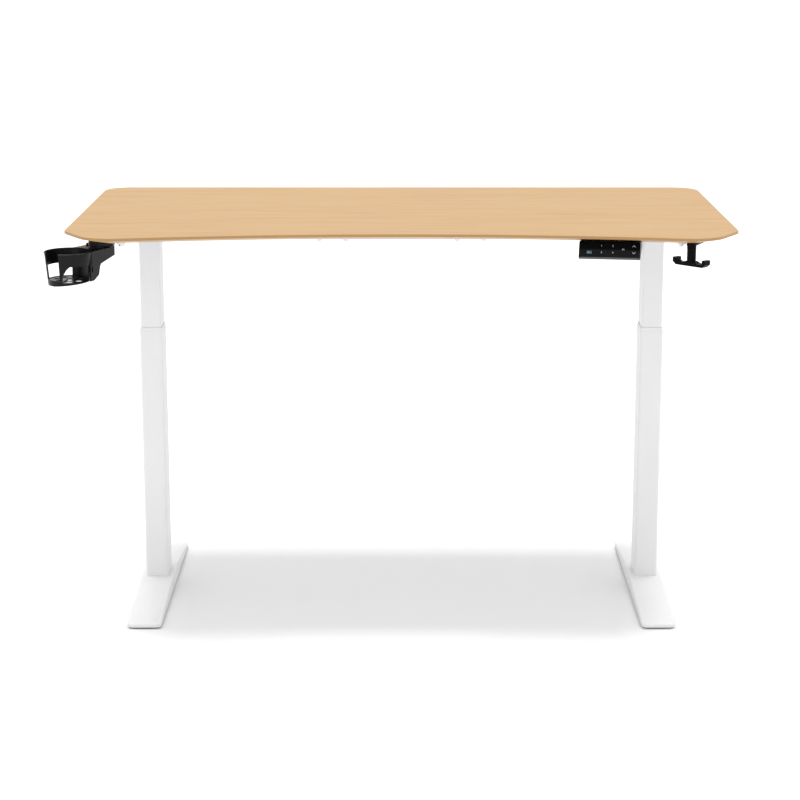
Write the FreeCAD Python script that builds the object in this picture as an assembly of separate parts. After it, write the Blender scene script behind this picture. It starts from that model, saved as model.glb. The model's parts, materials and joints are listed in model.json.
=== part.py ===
import FreeCAD, Part
import math
import os

# Height adjustable standing desk. Millimetres, +Z up, +X to the user's right, the user sits at -Y.
# The origin is on the floor, midway between the two legs.

V = FreeCAD.Vector
UP = V(0, 0, 1)

# ---------------------------------------------------------------- driving dimensions

# tabletop
top_width = 1400.0
top_depth = 800.0
top_thickness = 18.0
desk_height = 865.0  # work surface above the floor, in the stored position
edge_height = 6.0  # upright part of the edge; the rest is the under-bevel
bevel_depth = 56.0
back_corner_radius = 58.0
front_arc_radius = 2800.0
front_centre_y = -346.0
tip_y = -298.0  # where the side line and the cut corner's line would meet
tip_radius = 40.0
cut_angle = 60.0  # cut corner's line, degrees from the X axis
lobe_radius = 76.0
least_corner_radius = 3.0
top_edge_round = 1.2

# legs
leg_x = 555.0
outer_w, outer_d, outer_wall = 50.0, 80.0, 1.5
inner_w, inner_d, inner_wall = 45.0, 75.0, 1.5
foot_top = 35.0
outer_tube_top = 603.0
collar_height, collar_skirt = 6.0, 40.0
inner_tube_top = 804.0
lift_down, lift_up = 145.0, 315.0  # travel from the stored position
stop_gap = 4.0  # left between end stops at full height
inner_tube_bottom = foot_top + 20.0 + lift_down

# feet
foot_length, foot_width = 620.0, 72.0
foot_gap = 4.0  # foot shell above the floor
foot_end_height = 12.0
foot_wall = 2.5
foot_flat = 130.0  # length of the level part round the column
glide_y = 272.0
glide_travel = 5.0

# lift mechanism
shaft_z = 824.5  # hexagonal drive shaft's axis
spindle_r = 7.0
journal_r = 6.0
running_gap = 0.05
nut_bottom, nut_top, nut_spigot = 600.0, 630.0, 20.0
end_stop = 6.0
spindle_bottom = nut_bottom - nut_spigot - end_stop - lift_up - stop_gap
motor_x = 455.0
worm_drop = 15.0  # worm's axis below the drive shaft

# frame under the top
pad_thickness = 3.0
bracket_w, bracket_sheet = 70.0, 2.5
bracket_web = 3.0
bracket_depth = 36.0
bracket_end_y = 328.0
flange_end_y = 290.0
tongue_shift = 24.0  # tongues' centre line, outboard of the leg's
tongue_half = 9.0
front_rail_y, rear_rail_y = -50.0, 130.0
rail_w, rail_h, rail_wall = 24.0, 31.0, 1.5
centre_rail_half = 240.0
side_rail_start = 100.0
lock_bolt_x = (122.0, 180.0)

# accessories
cup_x, cup_y = -684.0, -347.0
cup_arm_angle = 60.0
cup_pivot = (51.5, 44.0)  # from the cup's centre
cup_top_r, cup_bottom_r, cup_wall = 50.0, 43.5, 2.4
cup_rim_below_top = 35.0
cup_base_z = 762.0
hook_x, hook_y = 595.0, -355.0
hook_turn = -46.0  # direction of the hook's bar about +Z
handset_x = 424.6
handset_w = 125.0

# derived levels
underside = desk_height - top_thickness
bracket_top = underside - pad_thickness
bracket_bottom = bracket_top - bracket_depth
rail_top = bracket_top - bracket_web
rail_bottom = rail_top - rail_h

nodes = {}


# ---------------------------------------------------------------- helpers


def box(x0, x1, y0, y1, z0, z1):
    return Part.makeBox(x1 - x0, y1 - y0, z1 - z0, V(x0, y0, z0))


def rod(radius, start, end):
    return Part.makeCylinder(radius, (end - start).Length, start, end - start)


def upright(radius, x, y, z0, z1):
    return rod(radius, V(x, y, z0), V(x, y, z1))


def ring(outer, inner, start, end):
    return rod(outer, start, end).cut(rod(inner, start, end))


def prism(points, direction):
    """Straight-sided solid from a flat polygon."""
    return Part.Face(Part.makePolygon(points + [points[0]])).extrude(direction)


def round_edges(solid, radius, wanted):
    """Fillet the edges for which wanted(edge) holds."""
    edges = [e for e in solid.Edges if wanted(e)]
    return solid.makeFillet(radius, edges)


def is_along(edge, axis):
    """Whether a straight edge runs along the given axis."""
    if not isinstance(edge.Curve, Part.Line):
        return False
    return abs(edge.tangentAt(edge.FirstParameter).dot(axis)) > 0.999


def soft_box(x0, x1, y0, y1, z0, z1, radius, axis=UP):
    """Box whose four edges along one axis are rounded."""
    return round_edges(box(x0, x1, y0, y1, z0, z1), radius, lambda e: is_along(e, axis))


def rect_tube(x, y, width, depth, wall, z0, z1, radius):
    """Upright rectangular tube, open at both ends."""
    outside = soft_box(x - width / 2, x + width / 2, y - depth / 2, y + depth / 2, z0, z1, radius)
    w, d = width / 2 - wall, depth / 2 - wall
    inside = soft_box(x - w, x + w, y - d, y + d, z0, z1, max(radius - wall, 0.5))
    return outside.cut(inside)


def hexagon(across_flats, start, end, turn=0.0):
    """Hexagonal bar between two points on a line along X."""
    r = across_flats / math.sqrt(3)
    angles = [math.radians(turn + 60 * k) for k in range(6)]
    corners = [V(start.x, start.y + r * math.cos(a), start.z + r * math.sin(a)) for a in angles]
    return prism(corners, end - start)


def pan_screw(x, y, z_seat, length, shank_r, head_r, head_h):
    """Screw driven upwards: pan head below z_seat with a cross recess, shank above it."""
    head = upright(head_r, x, y, z_seat - head_h, z_seat)
    head = round_edges(head, head_h * 0.45, lambda e: abs(e.BoundBox.ZMax - (z_seat - head_h)) < 1e-6)
    slot = head_r * 0.55
    width = head_r * 0.1
    depth = z_seat - head_h * 0.45
    for a, b in ((slot, width), (width, slot)):
        head = head.cut(box(x - a, x + a, y - b, y + b, z_seat - head_h - 1, depth))
    return head.fuse(upright(shank_r, x, y, z_seat, z_seat + length))


def mirror_x(shape):
    return shape.mirror(V(0, 0, 0), V(1, 0, 0))


def both_sides(shape):
    """A right-hand piece with its left-hand twin."""
    return [shape, mirror_x(shape)]


def turned(shape, centre, axis, degrees):
    copy = shape.copy()
    copy.rotate(centre, axis, degrees)
    return copy


def add(name, *solids):
    nodes.setdefault(name, []).extend(solids)


# ---------------------------------------------------------------- tabletop


def right_outline(inset, z):
    """Right half of the tabletop's edge, moved inwards by inset, from the front round to the back."""
    angle = math.radians(cut_angle)
    along = V(-math.cos(angle), -math.sin(angle), 0)
    inwards = V(-math.sin(angle), math.cos(angle), 0)
    half = top_width / 2 - inset
    back = top_depth / 2 - inset
    back_r = max(back_corner_radius - inset, least_corner_radius)
    tip_r = max(tip_radius - inset, least_corner_radius)
    lobe_r = lobe_radius - inset
    arc_r = front_arc_radius + inset
    arc_centre = V(0, front_centre_y - front_arc_radius, 0)

    # corner of the side line and the cut line
    on_cut = V(top_width / 2, tip_y, 0) + inwards * inset
    tip = on_cut + along * ((half - on_cut.x) / along.x)
    # the lobe's circle touches the cut line and the front arc
    reach = tip + inwards * lobe_r - arc_centre
    b = reach.dot(along)
    c = reach.dot(reach) - (arc_r + lobe_r) ** 2
    lobe = tip + inwards * lobe_r + along * (-b - math.sqrt(b * b - c))

    def at(centre, radius, degrees):
        a = math.radians(degrees)
        return V(centre.x + radius * math.cos(a), centre.y + radius * math.sin(a), 0)

    to_arc = lobe - arc_centre
    front_side = arc_centre + to_arc * (arc_r / to_arc.Length)
    front_angle = math.degrees(math.atan2(-to_arc.y, -to_arc.x))
    cut_side_angle = cut_angle - 90
    cut_start = at(lobe, lobe_r, cut_side_angle)
    turn = (90 - cut_angle) / 2
    tangent = tip_r * math.tan(math.radians(turn))
    cut_end = tip + along * tangent
    side_start = tip + V(0, tangent, 0)
    tip_centre = side_start - V(tip_r, 0, 0)
    corner = V(half - back_r, back - back_r, 0)

    edges = [
        Part.Arc(front_side, at(lobe, lobe_r, (front_angle + cut_side_angle) / 2), cut_start).toShape(),
        Part.makeLine(cut_start, cut_end),
        Part.Arc(cut_end, at(tip_centre, tip_r, -turn), side_start).toShape(),
        Part.makeLine(side_start, V(half, corner.y, 0)),
        Part.Arc(V(half, corner.y, 0), at(corner, back_r, 45), V(corner.x, back, 0)).toShape(),
    ]
    for e in edges:
        e.translate(V(0, 0, z))
    return edges, front_side + V(0, 0, z), V(corner.x, back, z)


def outline(inset, z):
    """The whole edge as one closed wire."""
    right, front, rear = right_outline(inset, z)
    left = [mirror_x(e) for e in right]
    centre = V(0, front_centre_y + inset, z)
    front_arc = Part.Arc(V(-front.x, front.y, z), centre, front).toShape()
    back_line = Part.makeLine(rear, V(-rear.x, rear.y, z))
    return Part.Wire(Part.__sortEdges__([front_arc] + right + [back_line] + left))


def front_edge_y(x):
    """Y of the concave front edge at a given X."""
    return front_centre_y - front_arc_radius + math.sqrt(front_arc_radius**2 - x * x)


def tabletop():
    bevel_top = desk_height - edge_height
    slab = Part.Face(outline(0, bevel_top)).extrude(V(0, 0, edge_height))
    slab = round_edges(slab, top_edge_round, lambda e: e.BoundBox.ZMin > desk_height - 1e-6)
    bevel = Part.makeLoft([outline(0, bevel_top), outline(bevel_depth, underside)], True, True)
    return slab.fuse(bevel).removeSplitter()


# pilot holes that the wood screws need in the tabletop
pilot_holes = []


def wood_screw(node, x, y, z_seat, shank_r=2.0, head_r=4.6, head_h=3.0, bite=11.0):
    """Screw through a fitting, whose face for the head is at z_seat, into the tabletop."""
    length = underside + bite - z_seat
    add(node, pan_screw(x, y, z_seat, length, shank_r, head_r, head_h))
    pilot_holes.append(upright(shank_r, x, y, underside - 1, underside + bite))


# ---------------------------------------------------------------- feet


def foot_solid(inset, bottom):
    """Foot's outer form, moved inwards by inset: level round the column, falling to both ends."""
    end = foot_length / 2 - inset
    level = foot_flat / 2
    x = foot_width / 2 - inset
    side = [
        V(leg_x - x, -end, bottom),
        V(leg_x - x, -end, foot_end_height - inset),
        V(leg_x - x, -level, foot_top - inset),
        V(leg_x - x, level, foot_top - inset),
        V(leg_x - x, end, foot_end_height - inset),
        V(leg_x - x, end, bottom),
    ]
    solid = prism(side, V(2 * x, 0, 0))
    solid = round_edges(solid, 12.0 - inset, lambda e: is_along(e, UP))
    return round_edges(solid, 4.0 - inset, lambda e: e.BoundBox.ZMin > foot_end_height - inset - 1e-6)


def foot():
    """Pressed steel shell, open underneath, with the column's four bolt holes."""
    shell = foot_solid(0, foot_gap).cut(foot_solid(foot_wall, foot_gap - 5))
    for x, y in column_bolt_places():
        shell = shell.cut(upright(4.0, x, y, foot_gap, foot_top + 1))
    return shell


def column_bolt_places():
    return [(leg_x + i * 14, j * 26) for i in (-1, 1) for j in (-1, 1)]


def foot_plate():
    """Stiffening plate under the shell's level part."""
    top = foot_top - foot_wall
    half = foot_width / 2 - foot_wall - 1.5
    plate = box(leg_x - half, leg_x + half, -60, 60, top - 4, top)
    for x, y in column_bolt_places():
        plate = plate.cut(upright(4.0, x, y, top - 5, top + 1))
    return plate


def column_bolt(x, y):
    seat = foot_top - foot_wall - 4
    head = hexagon(13, V(0, 0, 0), V(5.3, 0, 0))
    head.rotate(V(0, 0, 0), V(0, 1, 0), -90)
    head.translate(V(x, y, seat - 5.3))
    return head.fuse(upright(4.0, x, y, seat, foot_top + 6))


def glide_strap(y):
    """Cross strap near the end of a foot, with the glide's threaded boss."""
    half = foot_width / 2 - foot_wall
    strap = box(leg_x - half, leg_x + half, y - 14, y + 14, 8.0, 9.5)
    return strap.fuse(upright(8.0, leg_x, y, 6.0, 8.0)).cut(upright(3.05, leg_x, y, 5, 11))


def glide(y):
    """Levelling glide: a soft-edged pad on a threaded stud."""
    pad = upright(15.0, leg_x, y, 0, 5.5)
    pad = round_edges(pad, 1.2, lambda e: True)
    return pad.fuse(upright(3.0, leg_x, y, 5.5, 7.0 + glide_travel))


# ---------------------------------------------------------------- telescopic legs


def outer_tube():
    """Lower tube with its welded foot flange."""
    tube = rect_tube(leg_x, 0, outer_w, outer_d, outer_wall, foot_top, outer_tube_top, 5.0)
    half_w = outer_w / 2 - outer_wall
    half_d = outer_d / 2 - outer_wall
    flange = soft_box(leg_x - half_w, leg_x + half_w, -half_d, half_d, foot_top, foot_top + 6, 3.5)
    for x, y in column_bolt_places():
        flange = flange.cut(upright(4.0, x, y, foot_top - 1, foot_top + 7))
    return tube.fuse(flange)


def collar():
    """Plastic sleeve that guides the inner tube at the mouth of the outer tube."""
    gap = 0.1
    w, d = outer_w - 1.0, outer_d - 1.0
    skirt_w, skirt_d = outer_w - 2 * outer_wall, outer_d - 2 * outer_wall
    hole_w, hole_d = inner_w + 2 * gap, inner_d + 2 * gap
    top = outer_tube_top + collar_height
    lip = soft_box(leg_x - w / 2, leg_x + w / 2, -d / 2, d / 2, outer_tube_top, top, 5.0)
    lip = round_edges(lip, 1.0, lambda e: e.BoundBox.ZMin > top - 1e-6)
    bottom = outer_tube_top - collar_skirt
    skirt = soft_box(
        leg_x - skirt_w / 2, leg_x + skirt_w / 2, -skirt_d / 2, skirt_d / 2, bottom, outer_tube_top, 3.5
    )
    hole = soft_box(
        leg_x - hole_w / 2, leg_x + hole_w / 2, -hole_d / 2, hole_d / 2, bottom - 1, top + 1, 4.1
    )
    return lip.fuse(skirt).cut(hole)


def inner_tube():
    return rect_tube(leg_x, 0, inner_w, inner_d, inner_wall, inner_tube_bottom, inner_tube_top, 4.0)


def slide_sleeve():
    """Plastic band round the inner tube's lower end, running inside the outer tube."""
    w = outer_w - 2 * outer_wall - 0.2
    d = outer_d - 2 * outer_wall - 0.2
    bottom = inner_tube_bottom + 4
    top = outer_tube_top - collar_skirt - lift_up - stop_gap
    band = soft_box(leg_x - w / 2, leg_x + w / 2, -d / 2, d / 2, bottom, top, 3.4)
    hole = soft_box(
        leg_x - inner_w / 2, leg_x + inner_w / 2, -inner_d / 2, inner_d / 2, bottom - 1, top + 1, 4.0
    )
    return band.cut(hole)


def nut_tube():
    """Round tube that stands on the foot flange and carries the spindle nut."""
    return ring(15.0, 12.5, V(leg_x, 0, foot_top + 6), V(leg_x, 0, nut_bottom))


def spindle_nut():
    bore = spindle_r + running_gap
    nut = ring(15.0, bore, V(leg_x, 0, nut_bottom), V(leg_x, 0, nut_top))
    spigot = ring(12.5, bore, V(leg_x, 0, nut_bottom - nut_spigot), V(leg_x, 0, nut_bottom))
    return nut.fuse(spigot)


# ---------------------------------------------------------------- lift mechanism

gearbox_half_x, gearbox_half_y = 28.0, 36.0
gearbox_wall = 2.5
bevel_r, bevel_face = 13.0, 6.0


def spindle():
    """Lead screw, its journal and end stop; the bevel wheel is a separate solid on the journal."""
    journal_bottom = inner_tube_top - 10
    screw = upright(spindle_r, leg_x, 0, spindle_bottom + end_stop, journal_bottom)
    tip = upright(spindle_r + 2, leg_x, 0, spindle_bottom, spindle_bottom + end_stop)
    journal = upright(journal_r, leg_x, 0, journal_bottom, shaft_z - bevel_r + bevel_face)
    return screw.fuse([tip, journal])


def bevel_gear(apex, axis):
    """Bevel gear whose teeth face the apex: pitch radius equals its distance from the apex."""
    small_r = bevel_r - bevel_face
    clear = 0.4
    teeth = 14
    start = apex + axis * (bevel_r + clear)
    gear = Part.makeCone(bevel_r, small_r, bevel_face, start, axis * -1)
    side = axis.cross(V(0, 1, 0))
    groove = prism(
        [
            start + side * (bevel_r + 1.0) + V(0, 0.7, 0),
            start + side * (bevel_r + 1.0) - V(0, 0.7, 0),
            start + side * (small_r + 1.2) - V(0, 0.4, 0) - axis * (bevel_face + 1),
            start + side * (small_r + 1.2) + V(0, 0.4, 0) - axis * (bevel_face + 1),
        ],
        (side + axis) * 3.0,
    )
    for k in range(teeth):
        gear = gear.cut(turned(groove, start, axis, 360.0 * k / teeth))
    return gear


def drive_shaft():
    end = leg_x + 10
    return hexagon(7.0, V(-end, 0, shaft_z), V(end, 0, shaft_z))


def shaft_cutter(radius):
    """Clearance for the drive shaft along its whole length."""
    return rod(radius, V(-leg_x - 60, 0, shaft_z), V(leg_x + 60, 0, shaft_z))


def bevel_wheel():
    """Wheel on the spindle, under the drive shaft."""
    wheel = bevel_gear(V(leg_x, 0, shaft_z), V(0, 0, -1))
    return wheel.cut(upright(journal_r, leg_x, 0, shaft_z - 30, shaft_z))


def bevel_pinion():
    """Pinion on the drive shaft, towards the middle of the desk."""
    pinion = bevel_gear(V(leg_x, 0, shaft_z), V(-1, 0, 0))
    return pinion.cut(drive_shaft())


def gearbox_block(inset):
    x, y = gearbox_half_x - inset, gearbox_half_y - inset
    return soft_box(
        leg_x - x, leg_x + x, -y, y, inner_tube_top + 4 + inset, rail_top - 0.5 - inset, 4.0 - inset
    )


def gearbox_parts():
    """Angle gearbox on top of a leg: the housing carries the spindle bearing, the cover closes it."""
    split = shaft_z
    whole = gearbox_block(0).cut(gearbox_block(gearbox_wall)).cut(shaft_cutter(5.0))
    boss = ring(15.0, 13.0, V(leg_x, 0, inner_tube_top - 8), V(leg_x, 0, inner_tube_top + 4))
    whole = whole.cut(upright(13.0, leg_x, 0, inner_tube_top, inner_tube_top + 7))
    big = 100
    lower = box(leg_x - big, leg_x + big, -big, big, 0, split)
    upper = box(leg_x - big, leg_x + big, -big, big, split, split + big)
    return whole.common(lower).fuse(boss), whole.common(upper)


def spindle_bearing():
    low = V(leg_x, 0, inner_tube_top - 8)
    high = V(leg_x, 0, inner_tube_top + 1)
    return ring(13.0, journal_r + running_gap, low, high)


def head_bolt_places():
    return [(leg_x + i * 20, j * 47) for i in (-1, 1) for j in (-1, 1)]


def head_plate():
    """Plate welded on the inner tube, under the gearbox."""
    z = inner_tube_top
    plate = soft_box(leg_x - 32, leg_x + 32, -58, 58, z, z + 4, 6.0)
    plate = plate.cut(upright(15.0, leg_x, 0, z - 1, z + 5))
    for x, y in head_bolt_places():
        plate = plate.cut(upright(3.0, x, y, z - 1, z + 5))
    return plate


def head_bolt(x, y):
    seat = inner_tube_top
    return pan_screw(x, y, seat, bracket_top - seat, 3.0, 5.5, 2.8)


def head_spacer(x, y):
    return ring(6.0, 3.0, V(x, y, inner_tube_top + 4), V(x, y, rail_top))


# motor and worm gearbox, behind the handset

worm_z = shaft_z - worm_drop
worm_box_half = 26.0
motor_start, motor_length, motor_r = 26.0, 78.0, 26.0


def worm_box():
    """Worm gearbox round the drive shaft, with a motor flange on its rear face."""
    x, y = worm_box_half, worm_box_half
    low, high = worm_z - 14, rail_top
    body = soft_box(motor_x - x, motor_x + x, -y, y, low, high, 5.0)
    body = body.cut(soft_box(motor_x - x + 3, motor_x + x - 3, -y + 3, y - 3, low + 3, high - 3, 2.0))
    body = body.cut(shaft_cutter(5.0))
    return body.cut(rod(9.0, V(motor_x, y - 4, worm_z), V(motor_x, y + 1, worm_z)))


def worm_wheel():
    """Helical wheel on the drive shaft, driven by the worm below it."""
    r, half, teeth = 11.0, 5.0, 24
    low, high = V(motor_x - half, 0, shaft_z), V(motor_x + half, 0, shaft_z)
    wheel = rod(r, low, high)
    notch = box(motor_x - half - 1, motor_x + half + 1, -0.7, 0.7, shaft_z + r - 1.6, shaft_z + r + 1)
    notch.rotate(V(motor_x, 0, shaft_z), UP, 8)
    for k in range(teeth):
        wheel = wheel.cut(turned(notch, V(motor_x, 0, shaft_z), V(1, 0, 0), 360.0 * k / teeth))
    hub = ring(7.0, 3.5, V(motor_x - 12, 0, shaft_z), V(motor_x + 12, 0, shaft_z))
    return wheel.fuse(hub).cut(drive_shaft())


def motor_housing():
    """Drawn steel can, open at the front where it meets the gearbox."""
    start, end = V(motor_x, motor_start, worm_z), V(motor_x, motor_start + motor_length, worm_z)
    can = rod(motor_r, start, end)
    can = round_edges(can, 4.0, lambda e: e.BoundBox.YMin > end.y - 1e-6)
    can = can.cut(rod(motor_r - 2, start + V(0, -1, 0), end - V(0, 2, 0)))
    return can.cut(rod(5.0, end - V(0, 3, 0), end + V(0, 1, 0)))


def motor_magnets():
    """Two curved magnets on the can's inner wall."""
    start, end = V(motor_x, motor_start + 14, worm_z), V(motor_x, motor_start + 64, worm_z)
    shell = ring(motor_r - 2, motor_r - 7, start, end)
    gap = box(motor_x - 8, motor_x + 8, start.y - 1, end.y + 1, worm_z - 40, worm_z + 40)
    return shell.cut(gap).Solids


def motor_rotor():
    """Armature, commutator and shaft, with the worm on the shaft's front end."""

    def along_y(radius, y0, y1):
        return rod(radius, V(motor_x, y0, worm_z), V(motor_x, y1, worm_z))

    armature = along_y(17.5, motor_start + 16, motor_start + 62)
    for k in range(10):
        slot = box(
            motor_x - 1, motor_x + 1, motor_start, motor_start + motor_length, worm_z + 12, worm_z + 20
        )
        armature = armature.cut(turned(slot, V(motor_x, 0, worm_z), V(0, 1, 0), 36 * k))
    commutator = along_y(9.0, motor_start + 64, motor_start + 72)
    worm = along_y(3.6, -12, 14)
    shaft = along_y(2.5, -20, motor_start + motor_length - 3)
    return armature.fuse([commutator, worm, shaft])


# ---------------------------------------------------------------- frame under the top


def side_bracket():
    """Inverted channel along a leg's top, deep over the leg and running out to flat tongues."""
    half = bracket_w / 2
    x0, x1 = leg_x - half, leg_x + half
    web = box(x0, x1, -flange_end_y, flange_end_y, rail_top, bracket_top)
    tongue_x = leg_x + tongue_shift
    x2, x3 = tongue_x - tongue_half, tongue_x + tongue_half
    web = web.fuse(soft_box(x2, x3, -bracket_end_y, bracket_end_y, rail_top, bracket_top, 6.0))
    end_z = rail_top
    profile = [
        V(0, -flange_end_y, bracket_top),
        V(0, -flange_end_y, end_z),
        V(0, -50, bracket_bottom),
        V(0, 160, bracket_bottom),
        V(0, flange_end_y, end_z),
        V(0, flange_end_y, bracket_top),
    ]
    for x in (x0, x1 - bracket_sheet):
        flange = prism([p + V(x, 0, 0) for p in profile], V(bracket_sheet, 0, 0))
        web = web.fuse(flange)
    web = web.removeSplitter()
    web = web.cut(rod(7.0, V(x0 - 1, 0, shaft_z), V(x0 + bracket_sheet + 1, 0, shaft_z)))
    for y, z in end_bolt_places():
        web = web.cut(rod(3.0, V(x0 - 1, y, z), V(x0 + bracket_sheet + 1, y, z)))
    for x, y in head_bolt_places():
        web = web.cut(upright(3.0, x, y, rail_top - 1, bracket_top + 1))
    for x, y in frame_screw_places():
        web = web.cut(upright(2.5, x, y, rail_top - 1, bracket_top + 1))
    return web


def frame_screw_places():
    tongue_x = leg_x + tongue_shift
    return [(tongue_x, -314), (tongue_x, 314), (leg_x, -215), (leg_x, 215)]


def rubber_pad(x, y):
    return ring(9.0, 2.5, V(x, y, bracket_top), V(x, y, underside))


def end_bolt_places():
    mid = (rail_top + rail_bottom) / 2
    return [(y + j * 20, mid) for y in (front_rail_y, rear_rail_y) for j in (-1, 1)]


def end_bolt(y, z):
    seat = leg_x - bracket_w / 2 + bracket_sheet
    head = rod(5.0, V(seat, y, z), V(seat + 3.6, y, z))
    head = round_edges(head, 1.5, lambda e: e.BoundBox.XMin > seat + 3.6 - 1e-6)
    return head.fuse(rod(3.0, V(seat - bracket_sheet - 4.5, y, z), V(seat, y, z)))


def rail_tube(x0, x1, y, clear):
    """Rectangular rail along X; clear shrinks its section so that it slides inside a wider one."""
    w, h = rail_w / 2 - clear, rail_h / 2 - clear
    mid = (rail_top + rail_bottom) / 2
    x_axis = V(1, 0, 0)
    outside = soft_box(x0, x1, y - w, y + w, mid - h, mid + h, 2.5, x_axis)
    w, h = w - rail_wall, h - rail_wall
    inside = soft_box(x0 - 1, x1 + 1, y - w, y + w, mid - h, mid + h, 1.0, x_axis)
    tube = outside.cut(inside)
    for x in lock_bolt_x:
        for side in (-1, 1):
            if x0 < side * x < x1:
                tube = tube.cut(upright(3.0, side * x, y, rail_bottom - 1, rail_bottom + 5))
    return tube


def side_rail(y):
    """Inner rail with its welded end plate."""
    face = leg_x - bracket_w / 2
    rail = rail_tube(side_rail_start, face - 4.5, y, rail_wall)
    plate = box(face - 4.5, face, y - 26, y + 26, rail_bottom, rail_top)
    for py, pz in end_bolt_places():
        plate = plate.cut(rod(3.0, V(face - 6, py, pz), V(face + 1, py, pz)))
    return rail.fuse(plate)


def lock_bolt(x, y):
    return pan_screw(x, y, rail_bottom, 12.0, 3.0, 6.0, 4.5)


def motor_bracket():
    """Flat bar across both rails that carries the worm gearbox and the motor."""
    x, y0, y1 = 20.0, front_rail_y - rail_w / 2, rear_rail_y + rail_w / 2
    bar = soft_box(motor_x - x, motor_x + x, y0, y1, rail_top, rail_top + 2.5, 4.0)
    for sx, sy in motor_screw_places():
        bar = bar.cut(upright(2.0, sx, sy, rail_top - 1, rail_top + 4))
    return bar


def motor_screw_places():
    rails = [(motor_x + i * 12, y) for i in (-1, 1) for y in (front_rail_y, rear_rail_y)]
    return rails + [(motor_x + i * 15, j * 15) for i in (-1, 1) for j in (-1, 1)]


# ---------------------------------------------------------------- control box

box_half_x, box_y0, box_y1 = 112.0, 212.0, 300.0
box_bottom, box_wall = 815.0, 2.5
lid_thickness = 2.0
inlet_x, inlet_w, inlet_h = -72.0, 24.0, 15.0
socket_x, socket_w, socket_h = (-20.0, 12.0, 44.0), 14.0, 12.0
socket_z, socket_depth = 830.0, 14.0


def control_case():
    """Moulded case, open underneath, with two ears that lie against the tabletop."""
    case = soft_box(-box_half_x, box_half_x, box_y0, box_y1, box_bottom, underside, 6.0)
    w = box_wall
    case = case.cut(
        soft_box(
            -box_half_x + w, box_half_x - w, box_y0 + w, box_y1 - w, box_bottom - 1, underside - w, 4.0
        )
    )
    mid = (box_y0 + box_y1) / 2
    for side in (-1, 1):
        x0, x1 = sorted((side * (box_half_x - 1), side * (box_half_x + 18)))
        ear = soft_box(x0, x1, mid - 14, mid + 14, underside - 4, underside, 5.0)
        hole = upright(2.2, side * (box_half_x + 10), mid, underside - 5, underside + 1)
        case = case.fuse(ear.cut(hole))
    case = case.cut(
        box(-box_half_x + w, box_half_x - w, box_y0 + w, box_y1 - w, underside - 5, underside - w)
    )
    for x in range(-80, 81, 10):
        case = case.cut(box(x - 1.5, x + 1.5, box_y0 - 1, box_y0 + w + 1, 824, 838))
    return case.cut(socket_holes(0))


def socket_places():
    return [(inlet_x, inlet_w, inlet_h)] + [(x, socket_w, socket_h) for x in socket_x]


def socket_holes(gap):
    holes = []
    for x, w, h in socket_places():
        y0, y1 = box_y1 - box_wall - 1, box_y1 + 1
        half_w, half_h = w / 2 + gap, h / 2 + gap
        holes.append(box(x - half_w, x + half_w, y0, y1, socket_z - half_h, socket_z + half_h))
    return Part.makeCompound(holes)


def control_sockets():
    """Mains inlet and the motor and handset sockets, each a cup with contact pins."""
    out = []
    for x, w, h in socket_places():
        y0 = box_y1 - socket_depth
        cup = box(x - w / 2, x + w / 2, y0, box_y1, socket_z - h / 2, socket_z + h / 2)
        inner_w, inner_h = w / 2 - 1.2, h / 2 - 1.2
        z0, z1 = socket_z - inner_h, socket_z + inner_h
        cup = cup.cut(box(x - inner_w, x + inner_w, y0 + 2, box_y1 + 1, z0, z1))
        for i in (-1, 1):
            px = x + i * inner_w * 0.45
            cup = cup.fuse(rod(0.9, V(px, y0 + 1, socket_z), V(px, y0 + 9, socket_z)))
        out.append(cup)
    return out


def control_board():
    """Circuit board with its transformer, capacitors and relays."""
    z = underside - box_wall - 8
    board = box(-box_half_x + 6, box_half_x - 6, box_y0 + 8, box_y1 - socket_depth - 4, z, z + 1.6)
    parts = [box(-90, -50, 226, 262, z - 15, z)]
    parts += [upright(6.5, x, 244, z - 14, z) for x in (-30, -14)]
    parts += [soft_box(x, x + 18, 234, 250, z - 12, z, 1.0) for x in (8, 34, 60)]
    return board.fuse(parts)


def control_lid():
    lid = soft_box(
        -box_half_x, box_half_x, box_y0, box_y1, box_bottom - lid_thickness, box_bottom, 6.0
    )
    return round_edges(lid, 1.0, lambda e: e.BoundBox.ZMax < box_bottom - lid_thickness + 1e-6)


# ---------------------------------------------------------------- handset

face_tilt = 32.0  # control face leans back from the vertical
face_length = 38.6
face_overhang = 13.4  # face's foot in front of the tabletop's edge
face_drop = 44.2  # face's foot below the work surface
face_lip = 3.5  # case's own strip below the fascia
fascia_t = 2.0
case_wall = 2.0
key_size, key_gap, key_travel = 9.0, 0.3, 0.4
key_rise = 0.4
column_x = (-16.5, 6.5, 27.5, 49.5)
row_low, row_mid, row_high = 14.2, 21.2, 29.0
keys = {
    "key_one": (column_x[0], row_high),
    "key_two": (column_x[1], row_high),
    "key_three": (column_x[0], row_low),
    "key_four": (column_x[1], row_low),
    "key_memory": (column_x[2], row_mid),
    "key_up": (column_x[3], row_high),
    "key_down": (column_x[3], row_low),
}


def on_handset(shape):
    """Move a piece from the handset's own upright frame (X along the face) to the desk's edge."""
    edge = front_edge_y(handset_x)
    turn = -math.degrees(math.asin(handset_x / front_arc_radius))
    piece = shape.copy()
    piece.rotate(V(0, 0, 0), UP, turn)
    piece.translate(V(handset_x, edge, 0))
    return piece


def local_face(shape):
    """Move a piece from the face's plane (X along, Y up the face, Z outwards) to the handset's frame."""
    piece = shape.copy()
    piece.rotate(V(0, 0, 0), V(1, 0, 0), 90 - face_tilt)
    piece.translate(V(0, -face_overhang, desk_height - face_drop))
    return piece


def on_face(shape):
    """Move a piece from the face's plane to the desk's edge."""
    return on_handset(local_face(shape))


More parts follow.
